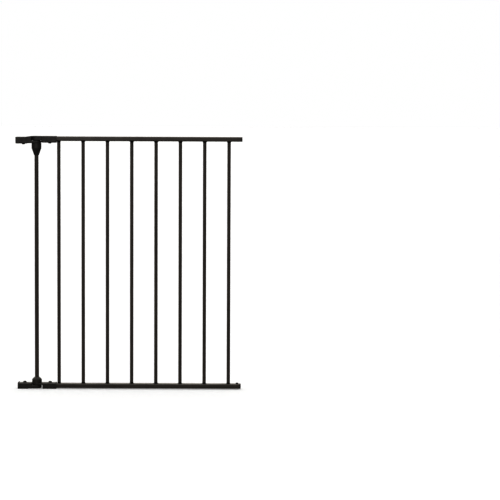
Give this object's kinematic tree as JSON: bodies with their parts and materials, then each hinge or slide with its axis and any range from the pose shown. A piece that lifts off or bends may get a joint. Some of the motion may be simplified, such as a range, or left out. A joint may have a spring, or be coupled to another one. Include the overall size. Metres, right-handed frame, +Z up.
{
  "type": "baby gate panel",
  "caption": "Black steel panel of a safety baby gate: upright bars between two rails, a hinge rod, swivelling joining arms and a pull-down lock collar.",
  "frame": {"origin": "centre of the bounding box at its lowest level, which is the underside of the lower arm", "axes": "+X along the gate from the hinge towards the rail ends, +Y through the gate's depth, +Z up along the hinge rod"},
  "size_m": [0.6682, 0.03, 0.749],
  "materials": {
    "black_powder_coated_steel": "satin black powder coat with a fine orange-peel surface",
    "black_screw_steel": "black oxide, slightly oily sheen",
    "black_nylon": "glass-filled nylon with a fine spark-eroded texture",
    "black_acetal": "smooth bearing plastic",
    "zinc_plated_steel": "bright zinc plate",
    "spring_steel": "drawn wire, lightly oiled"
  },
  "bodies": {
    "panel": {"top_rail": "black_powder_coated_steel", "bottom_rail": "black_powder_coated_steel", "bar_1": "black_powder_coated_steel", "bar_2": "black_powder_coated_steel", "bar_3": "black_powder_coated_steel", "bar_4": "black_powder_coated_steel", "bar_5": "black_powder_coated_steel", "bar_6": "black_powder_coated_steel", "bar_7": "black_powder_coated_steel", "bar_8": "black_powder_coated_steel", "top_welds": "black_powder_coated_steel", "bottom_welds": "black_powder_coated_steel", "hinge_rod": "black_powder_coated_steel", "joining_screw": "black_screw_steel", "top_bracket_screw": "black_screw_steel", "bottom_bracket_screw": "black_screw_steel", "top_rod_screw": "black_screw_steel", "bottom_rod_screw": "black_screw_steel", "top_panel_bracket": "black_nylon", "bottom_panel_bracket": "black_nylon", "base_collar": "black_nylon", "top_end_cap": "black_nylon", "bottom_end_cap": "black_nylon", "rail_inserts": "zinc_plated_steel", "rod_plugs": "zinc_plated_steel", "bottom_rod_washer": "zinc_plated_steel", "collar_pin": "zinc_plated_steel", "spring_clip": "zinc_plated_steel", "spring_seat": "zinc_plated_steel", "lock_spring": "spring_steel"},
    "top_arm": {"top_arm": "black_nylon", "top_arm_bush": "black_acetal", "arm_tooth_ring": "black_acetal", "top_arm_screw": "black_screw_steel"},
    "bottom_arm": {"bottom_arm": "black_nylon", "bottom_arm_bush": "black_acetal", "bottom_arm_screw": "black_screw_steel"},
    "lock_collar": {"lock_collar": "black_nylon", "lock_ring": "black_acetal"}
  },
  "joints": [
    {"name": "top_arm_swivel", "type": "hinge", "parent": "panel", "child": "top_arm", "pos_m": [-0.27355, 0, 0.732], "axis": [0, 0, 1], "range_deg": [-90, 90]},
    {"name": "bottom_arm_swivel", "type": "hinge", "parent": "panel", "child": "bottom_arm", "pos_m": [-0.27355, 0, 0.008], "axis": [0, 0, 1], "range_deg": [-90, 90]},
    {"name": "collar_slide", "type": "slide", "parent": "panel", "child": "lock_collar", "axis": [0, 0, 1], "range_m": [-0.007, 0], "stiffness_N_per_m": 1000, "springref_m": 0.008, "deforming": ["lock_spring"]}
  ],
  "couplings": [
    {"joint": "bottom_arm_swivel", "follows": "top_arm_swivel", "ratio": 1}
  ]
}
